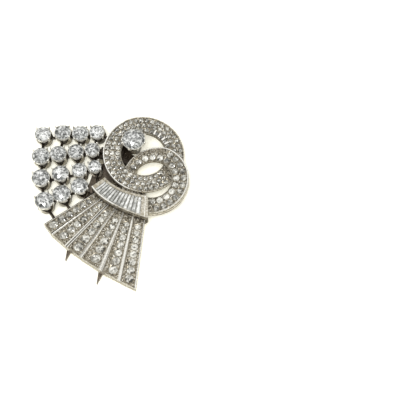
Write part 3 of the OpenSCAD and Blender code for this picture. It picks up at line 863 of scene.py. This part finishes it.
def metal_material(name, roughness, *colours):
    """Metal in three colours by tone, with fine noise in its tone, gloss and surface."""
    material, tree, shader = node_tree(name)
    noise = textured(tree, "ShaderNodeTexNoise", 2400.0, "Fac", 3.0)
    tone = mixed(tree, tone_of(tree), noise, 1.0, 1.25)
    coloured(tree, shader, tone, (0.0, 0.4, 0.8), colours)
    shader.inputs["Metallic"].default_value = 0.6
    gloss = arithmetic(tree, "MULTIPLY_ADD", noise, 0.7 * roughness, 0.7 * roughness)
    tree.links.new(gloss, shader.inputs["Roughness"])
    height = textured(tree, "ShaderNodeTexNoise", 2500.0, "Fac", 2.0)
    bump = tree.nodes.new("ShaderNodeBump")
    bump.inputs["Strength"].default_value = 0.12
    bump.inputs["Distance"].default_value = 0.00005
    tree.links.new(height, bump.inputs["Height"])
    tree.links.new(bump.outputs[0], shader.inputs["Normal"])
    return material


def stone_material(name, cell_scale, share, *colours):
    """Stone in three colours by tone, broken up by cells that change the tone by a share. The tones
    and the cells paint the stone's reflections and sparkle.
    """
    material, tree, shader = node_tree(name)
    cells = textured(tree, "ShaderNodeTexVoronoi", cell_scale, "Color")
    grey = tree.nodes.new("ShaderNodeSeparateColor")
    tree.links.new(cells, grey.inputs[0])
    tone = mixed(tree, tone_of(tree), grey.outputs[0], share)
    coloured(tree, shader, tone, (0.05, 0.5, 0.95), colours)
    shader.inputs["Roughness"].default_value = 0.06
    shader.inputs["IOR"].default_value = 2.1
    return material


# Low tones on the white metal are painted shade, nearly black, and high tones painted highlights
white_metal = metal_material(
    "white_metal", 0.26, (0.03, 0.022, 0.014), (0.38, 0.34, 0.255), (0.88, 0.865, 0.8)
)
# The fork's metal: the white metal in darker colours, painted in shade
fork_metal = metal_material(
    "fork_metal", 0.36, (0.16, 0.13, 0.1), (0.3, 0.255, 0.2), (0.42, 0.37, 0.3)
)
diamond = stone_material(
    "diamond", 3400.0, 0.85, (0.06, 0.062, 0.06), (0.29, 0.298, 0.285), (0.82, 0.83, 0.81)
)
pave_diamond = stone_material(
    "pave_diamond", 3400.0, 0.6, (0.055, 0.052, 0.042), (0.29, 0.28, 0.235), (0.8, 0.79, 0.72)
)
baguette_diamond = stone_material(
    "baguette_diamond", 1800.0, 0.4, (0.08, 0.08, 0.07), (0.42, 0.425, 0.395), (0.93, 0.93, 0.9)
)

# Lattice, centre stone and scrolls
rng = np.random.default_rng(SEED)
make_lattice(white_metal)
for row_name, row in zip(ROW_NAMES, ROWS):
    for c, (x, y, d) in enumerate(row):
        who = f"{row_name}{c + 1}"
        level = STONE_LEVEL.get(who, USUAL_LEVEL)
        place = (x, y, GIRDLE_Z)
        make_stone(f"stone_{who}", f"brilliant_{who}", d, place, row_turn(row), level, rng, diamond)

centre = Shape()
coronet(
    centre, CENTRE_C, CENTRE_D, CENTRE_BASE_Z, CENTRE_GIRDLE_Z, CENTRE_TUBE_R, CENTRE_TUBE_R,
    CENTRE_CLAWS, 0, CENTRE_LIGHT_AND_SHADE, cut=0.55, dip=0.3, lean=0,
)
centre.piece("centre_collet", [white_metal], ["mount"], "white_metal")
place = (*CENTRE_C, CENTRE_GIRDLE_Z)
make_stone("stone_centre", "centre_brilliant", CENTRE_D, place, 0.2, 0.47, rng, diamond)

make_scroll(
    "upper_scroll", ["mount", "upper_scroll_pave"], UPPER,
    lambda p, margin: covered(p, LOWER, RIGHT_WAY, margin), rng, [white_metal, pave_diamond],
)
make_scroll(
    "lower_scroll", ["mount", "lower_scroll_pave"], LOWER,
    lambda p, margin: covered(p, UPPER, -RIGHT_WAY, margin) or under_collar(p, margin),
    rng, [white_metal, pave_diamond],
)


# Collar
def cut_edge(t):
    """Top and foot end of a step cut's edge, at a share t of the collar's length."""
    a, b = curve(COLLAR_TOP, t), curve(COLLAR_FOOT, t)
    way = unit(b - a)
    return a + way * (COLLAR_TOP_RAIL + SEAT_GAP), b - way * (COLLAR_RAIL + SEAT_GAP)


# Side of the collar from its face down, as inset, drop and tone of the band that follows. The tones
# paint light and shade down the side, black in its grooves.
COLLAR_SIDE = [
    (0, -0.06, 0.3), (0, -0.14, -0.25), (0.04, -0.3, 0.15), (0.04, -0.6, 0.4),
    (0, -0.65, 0.25), (0, -1.0, -0.1), (0.05, -1.15, -0.35), (0.05, -1.6, 0.1),
]


def collar_section(t, channel_z):
    """Section at a share t of the collar's length, from its channel round the foot edge and back.

    Each point has the tone of the band that follows it. The foot rail is painted bright as a
    highlight on the left, where the side is painted darker. The foot edge rises at the right end,
    where a painted highlight crosses the top. The channel's floor is painted light under the step
    cuts."""
    a, b = curve(COLLAR_TOP, t), curve(COLLAR_FOOT, t)
    way = unit(b - a)
    e, z, rail = 0.06, COLLAR_Z, COLLAR_TOP_RAIL
    floor, base = channel_z - z, COLLAR_FOOT_Z - z
    shine = 1.3 if t < 0.5 else 0.55
    foot = [
        (COLLAR_RAIL, floor, 0.2), (COLLAR_RAIL, -e, shine), (COLLAR_RAIL - e, 0, shine),
        (e, 0, shine),
    ]
    brightest = 1 if t > 0.42 else 0.35
    foot += [(inset, drop, min(tone, brightest)) for inset, drop, tone in COLLAR_SIDE]
    low = base + 1.5 * max(0.0, (t - 0.94) / 0.06) ** 2
    lowest = low + 0.02 * np.arange(len(foot), 0, -1)
    foot = [(inset, max(drop, least), tone) for (inset, drop, tone), least in zip(foot, lowest)]
    foot.append((0, low, 0.3))
    plain = 1.0 if 0.95 < t < 0.96 else 0.5 if t > COLLAR_LAST else 0.45
    top = [
        (0, base, 0.3), (0, -0.7, 0.3), (0, -e, 0.6), (e, 0, plain), (rail - e, 0, plain),
        (rail, -e, plain), (rail, floor, plain + 0.5 * (0 < t < 0.9)),
    ]
    points = [(*(b - way * inset), z + drop) for inset, drop, _ in foot]
    points += [(*(a + way * inset), z + drop) for inset, drop, _ in top]
    return np.array(points), [tone for _, _, tone in foot + top]


def make_collar(metal):
    full, flat, step = COLLAR_Z - COLLAR_CHANNEL, COLLAR_Z - 0.08, 0.004
    stations = [(t, flat) for t in (-0.06, -0.04, 0.0, COLLAR_FIRST - step)]
    stations += [(t, full) for t in np.linspace(COLLAR_FIRST, COLLAR_LAST, 40)]
    stations += [(t, flat) for t in (COLLAR_LAST + step, 0.953, 0.963, 0.985, 1.0)]
    sections = [collar_section(t, z) for t, z in stations]
    tones = [tone for _, tones in sections[:-1] for tone in tones]
    shape = Shape()
    loft(shape, [points for points, _ in sections], tones + [0.4, 0.5])
    shape.piece("collar", [metal], ["mount"], "white_metal", welded=True)


def baguette(i, rng):
    """Step cut whose long facets run across the collar. Its facets and the strips of its table
    carry painted reflections, light and dark.
    """
    span = (COLLAR_LAST - COLLAR_FIRST) / BAGUETTES
    left = cut_edge(COLLAR_FIRST + span * i + BAGUETTE_GAP)
    right = cut_edge(COLLAR_FIRST + span * (i + 1) - BAGUETTE_GAP)
    corners = np.array([*left, *right[::-1]])
    middle = corners.mean(0)
    points = np.array([
        (*(middle + (p - middle) * share), BAGUETTE_Z + z)
        for share, z in STEP_RINGS for p in corners
    ])
    faces, tones = [], []
    for k in range(len(STEP_RINGS) - 1):
        for j in range(4):
            m = (j + 1) % 4
            faces.append((4 * k + j, 4 * k + 4 + j, 4 * k + 4 + m, 4 * k + m))
            tones.append(0.5 * rng.uniform(0.3, 0.8) + 0.5 * STEP_TONES[i])
    last = len(points)
    faces.append((last - 4, last - 1, last - 2, last - 3))
    tones.append(0.5)
    strips = 4
    near = np.linspace(points[0], points[3], strips + 1)
    far = np.linspace(points[1], points[2], strips + 1)
    for s in range(last, last + strips):
        faces.append((s, s + strips + 1, s + strips + 2, s + 1))
        tones.append(rng.choice([0.2, 0.4, 0.6, 0.8, 1.0]) * 0.5 + 0.5 * STEP_TONES[i])
    shape = Shape()
    shape.add(np.vstack([points, near, far]), faces, STONE, tones)
    return shape


make_collar(white_metal)
for i in range(BAGUETTES):
    baguette(i, rng).piece(
        f"step_cut_{i + 1}", [baguette_diamond, baguette_diamond], [f"baguette_{i + 1}"],
        "baguette_diamond", smooth=False, welded=True,
    )


# Fan
class Pleat:
    """One pleat of the fan: its middle line, its edges with their rails, and its channel."""

    def __init__(self, i):
        (a, a_end), (b, b_end) = RIDGES[i], RIDGES[i + 1]
        self.start = (a + b) / 2
        along = (a_end + b_end) / 2 - self.start
        self.way, self.length = unit(along), float(np.linalg.norm(along))
        self.outer_d, self.level = OUTER_D[i], PLEAT_LEVEL[i]
        roll, pitch = math.radians(PLEAT_ROLL), math.radians(FAN_PITCH)
        c = math.cos(roll)
        normal = (c * math.sin(pitch), -math.sin(roll), c * math.cos(pitch))
        self.normal = spun([normal], angle_of(self.way))[0]
        tuck = self.way * FAN_TUCK
        step = turn90(unit(b_end - (b - tuck))) * PLEAT_STEP
        left, right = (a - tuck, a_end), (b - tuck - step, b_end - step)
        self.edges = [(left, LEFT_RAILS[i], 1), (right, RIGHT_RAILS[i], -1)]
        self.ends = (left[0], right[0]), (left[1], right[1])
        inward = turn90(unit(right[1] - left[1])) * PLEAT_END
        low, high = (rail_line(edge, rails[-1], side) for edge, rails, side in self.edges)
        corners = crossings(low, high, self.ends[0], (left[1] + inward, right[1] + inward))
        self.channel = rounded(corners, CHANNEL_CORNER)

    def face(self, xy):
        """Height of the pleat's face over the table."""
        q = xy - self.start
        return FAN_Z - (q[:, 0] * self.normal[0] + q[:, 1] * self.normal[1]) / self.normal[2]

    def below(self, drop):
        return lambda xy: self.face(xy) - drop

    def surface(self, xy):
        """Height of the face with its rails and its channel's floor."""
        z = np.zeros(len(xy))
        for (a, b), rails, side in self.edges:
            along = unit(b - a)
            share = np.clip((xy - a) @ along / np.linalg.norm(b - a), 0, 1)
            away = side * left_of(xy, a, b)
            for k in range(len(xy)):
                places = [near + (far - near) * share[k] for near, far, _, _ in rails]
                z[k] = min(z[k], np.interp(away[k], places, [rail[2] for rail in rails]))
        sunk = np.clip(depth_in(xy, self.channel) / CHANNEL_WALL, 0, 1)
        return self.face(xy) + z - FAN_FLOOR * sunk

    def inside(self, xy):
        """Distance of points from the nearer edge, less than nothing outside."""
        return np.min([side * left_of(xy, a, b) for (a, b), _, side in self.edges], axis=0)

    def room(self, x, y):
        return depth_in(np.array([(x, y)]), self.channel)[0] - CHANNEL_WALL

    def stones(self):
        """Stones from the outer end, each as distance from the collar, diameter."""
        growth = (self.outer_d - SMALL_D) / self.length
        x = self.length - END_MARGIN - self.outer_d / 2
        found = []
        while x >= (SMALL_D + growth * x) / 2 + 0.15:
            found.append((x, SMALL_D + growth * x))
            x -= (found[-1][1] + STONE_GAP) / (1 + growth / 2)
        return found


def rail_line(edge, rail, side):
    """Line of a rail's vertex along a pleat, from the collar to the outer end."""
    (a, b), (near, far) = edge, rail[:2]
    across = side * turn90(unit(b - a))
    return a + across * near, b + across * far


def cut_lines(p, q):
    """Where the line through the two points of p crosses that of q."""
    one, two = left_of(p[0], *q), left_of(p[1], *q)
    return p[0] + (p[1] - p[0]) * (one / (one - two))


def crossings(p, q, start, end):
    """Corners between the lines p and q, from the line start to the line end."""
    return [cut_lines(p, start), cut_lines(p, end), cut_lines(q, end), cut_lines(q, start)]


def rounded(corners, r):
    """Four corners, with the second and third turned into arcs."""
    out = [corners[0]]
    for before, p, after in (corners[:3], corners[1:]):
        a, b = unit(before - p), unit(after - p)
        half = math.acos(np.dot(a, b)) / 2
        middle = p + unit(a + b) * r / math.sin(half)
        start, end = (p + way * r / math.tan(half) - middle for way in (a, b))
        out += [middle + unit(start * (1 - k) + end * k) * r for k in np.linspace(0, 1, 7)]
    return np.array([*out, corners[3]])


def depth_in(xy, polygon):
    """Distance of points inside the edges of a convex polygon that runs counter-clockwise."""
    edges = zip(polygon, np.roll(polygon, -1, axis=0))
    return np.min([left_of(xy, a, b) for a, b in edges], axis=0)


def make_fan(rng, materials):
    pleats = [Pleat(i) for i in range(PLEATS)]

    def heights(xy, height):
        """Height of each point on the pleat that it is furthest inside."""
        who = np.argmax(np.round([pleat.inside(xy) for pleat in pleats], 9), axis=0)
        z = np.zeros(len(xy))
        for i, pleat in enumerate(pleats):
            z[who == i] = height(pleat, xy[who == i])
        return z

    relief = Relief(lambda xy: heights(xy, Pleat.surface), 0.31)
    for pleat, after in zip(pleats, pleats[1:] + [None]):
        (left, _, _), (right, _, _) = pleat.edges
        relief.outline([*left, *right[::-1]])
        if after:
            relief.outline([*right, *after.edges[0][0][::-1]])
        for edge, rails, side in pleat.edges:
            for one, two in zip(rails, rails[1:]):
                lines = rail_line(edge, one, side), rail_line(edge, two, side)
                relief.outline(crossings(*lines, *pleat.ends)[::side], "band", one[3])
        relief.outline(pleat.channel)
        relief.outline(shrunk_polygon(pleat.channel, CHANNEL_WALL), "band", relief.floor_shade)
        stones = pleat.stones()
        for x, d in stones:
            level = pleat.level + rng.uniform(-0.1, 0.1)
            tones = facet_tones(rng, 2 * SMALL_SIDES, level, 0.2, 0.08)
            place = pleat.start + pleat.way * x
            relief.stone(*place, d, angle_of(pleat.way), pleat.below(PAVE_DROP), tones)
        for (last, last_d), (x, d) in zip(stones, stones[1:]):
            between = pleat.start + pleat.way * (x + d / 2 + last - last_d / 2) / 2
            for side in (-1, 1):
                for share, r in ((0.3, 0.13), (0.46, 0.15)):
                    q = between + turn90(pleat.way) * side * share * d
                    if pleat.room(*q) > r:
                        # Beads are painted lighter or darker at random, as glints
                        relief.bead(*q, r, pleat.below(0.12), rng.uniform(0.5, 1.0))
    for pleat in pleats:
        low, high = pleat.channel.min(0), pleat.channel.max(0)
        places = jittered(np.arange(low[0], high[0], 0.2), np.arange(low[1], high[1], 0.2), rng)
        places = [p for p in places if pleat.room(*p) > 0.05]
        relief.grains(places, (0.09, 0.17), pleat.room, pleat.below(0.15), rng)
    shape = Shape()
    shape.add(*closed_below(*relief.build(), lambda xy: heights(xy, Pleat.face) - FAN_T))
    shape.piece("fan", materials, ["mount", "fan_pave"], "pave_diamond", welded=True)


def shrunk_polygon(polygon, by):
    """A convex counter-clockwise polygon with its edges moved in."""
    out = []
    for a, p, b in zip(np.roll(polygon, 1, axis=0), polygon, np.roll(polygon, -1, axis=0)):
        na, nb = turn90(unit(p - a)), turn90(unit(b - p))
        out.append(p + (na + nb) * by / (1 + np.dot(na, nb)))
    return np.array(out)


def closed_below(points, faces, slots, tones, bottom):
    """The sheet with walls below its outer edge and an underside, so that it is a closed solid."""
    edges = dict.fromkeys((a, b) for f in faces for a, b in zip(f, f[1:] + f[:1]))
    border = [(a, b) for a, b in edges if (b, a) not in edges]
    n, xy = len(points), points[:, :2]
    inward = np.zeros((n, 2))
    for a, b in border:
        side = turn90(unit(xy[b] - xy[a]))
        inward[a] += side
        inward[b] += side
    rim = sorted({i for e in border for i in e})
    inward = inward[rim] / np.linalg.norm(inward[rim], axis=1)[:, None]
    top_z = bottom(xy[rim]) + FAN_T
    rows = [
        np.column_stack([xy[rim] + inward * inset, top_z + drop]) for inset, drop, _ in FAN_SIDE
    ]
    points = np.vstack([points, np.column_stack([xy, bottom(xy)]), *rows])
    ladders = {
        p: [p] + [2 * n + k * len(rim) + place for k in range(len(rows))] + [n + p]
        for place, p in enumerate(rim)
    }
    tones = tones + [0.6] * len(faces)
    faces = faces + [tuple(n + i for i in reversed(f)) for f in faces]
    side_tones = [tone for _, _, tone in FAN_SIDE] + [FAN_FOOT_TONE]
    for a, b in border:
        p, q = ladders[a], ladders[b]
        faces += [(p[k], p[k + 1], q[k + 1], q[k]) for k in range(len(side_tones))]
        tones += side_tones
    return points, faces, slots + [METAL] * (len(faces) - len(slots)), tones


make_fan(rng, [white_metal, pave_diamond])


# Hinge mount behind
def make_back(metal):
    shape = Shape()
    for values in BACK_BLOCKS:
        block(shape, *values)
    depth, *heights = WEB
    a, b = curve(COLLAR_TOP, 0.1), curve(COLLAR_TOP, 0.9)
    up = turn90(unit(b - a)) * depth
    # The web is painted dark, as the shade under the collar
    loft(shape, [np.array([(*p, z) for p in (a, b, b + up, a + up)]) for z in heights], 0.1)
    shape.piece("hinge_mount", [metal], ["mount"], "white_metal")


make_back(white_metal)

# The fork and its pin keep their shape
for name in ("fork", "hinge_pin"):
    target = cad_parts[name]
    target.data.materials.clear()
    target.data.materials.append(fork_metal if name == "fork" else white_metal)


# Stage
def make_floor():
    mesh = bpy.data.meshes.new("floor")
    s = 0.6
    mesh.from_pydata([(-s, -s, 0), (s, -s, 0), (s, s, 0), (-s, s, 0)], [], [(0, 1, 2, 3)])
    material, _, shader = node_tree("floor")
    shader.inputs["Base Color"].default_value = (0.95, 0.94, 0.88, 1)
    shader.inputs["Emission Color"].default_value = (1.0, 0.97, 0.8, 1)
    shader.inputs["Emission Strength"].default_value = 0.42
    shader.inputs["Roughness"].default_value = 0.8
    mesh.materials.append(material)
    linked("floor", mesh)


# Lamps round the clip, each as azimuth (0 in front, 90 to the right), elevation, distance,
# diameter, power
LAMPS = {
    "key": (-8, 68, 420, 170, 1.2),
    "top": (172, 58, 400, 300, 0.2),
    "left": (-75, 42, 380, 60, 0.2),
    "right": (80, 50, 380, 50, 0.18),
    "spark": (25, 75, 400, 18, 0.1),
}


def add_lamp(name, azimuth, elevation, distance, size, power):
    light = bpy.data.lights.new(name, "AREA")
    light.shape = "DISK"
    light.size = size * MM
    light.energy = power
    lamp = linked(name, light)
    a, e = math.radians(azimuth), math.radians(elevation)
    way = Vector((math.sin(a) * math.cos(e), -math.cos(a) * math.cos(e), math.sin(e)))
    lamp.location = way * distance * MM
    lamp.rotation_euler = (-way).to_track_quat("-Z", "Y").to_euler()


def make_world():
    world = bpy.data.worlds.new("studio")
    world.use_nodes = True
    background = world.node_tree.nodes["Background"]
    background.inputs["Color"].default_value = (1.0, 0.99, 0.97, 1)
    background.inputs["Strength"].default_value = 0.28
    bpy.context.scene.world = world


def add_camera():
    tilt = math.radians(VIEW_ELEVATION)
    back = Vector((0, -math.cos(tilt), math.sin(tilt)))
    data = bpy.data.cameras.new("camera")
    data.lens = LENS
    data.sensor_width = SENSOR
    data.clip_start = 0.01
    camera = linked("camera", data)
    camera.location = (Vector(VIEW_TARGET) + back * VIEW_DISTANCE) * MM
    camera.rotation_euler = (math.pi / 2 - tilt, 0, 0)
    bpy.context.scene.camera = camera


make_floor()
make_world()
for name, values in LAMPS.items():
    add_lamp(name, *values)
add_camera()
bpy.context.scene.view_settings.view_transform = "Standard"
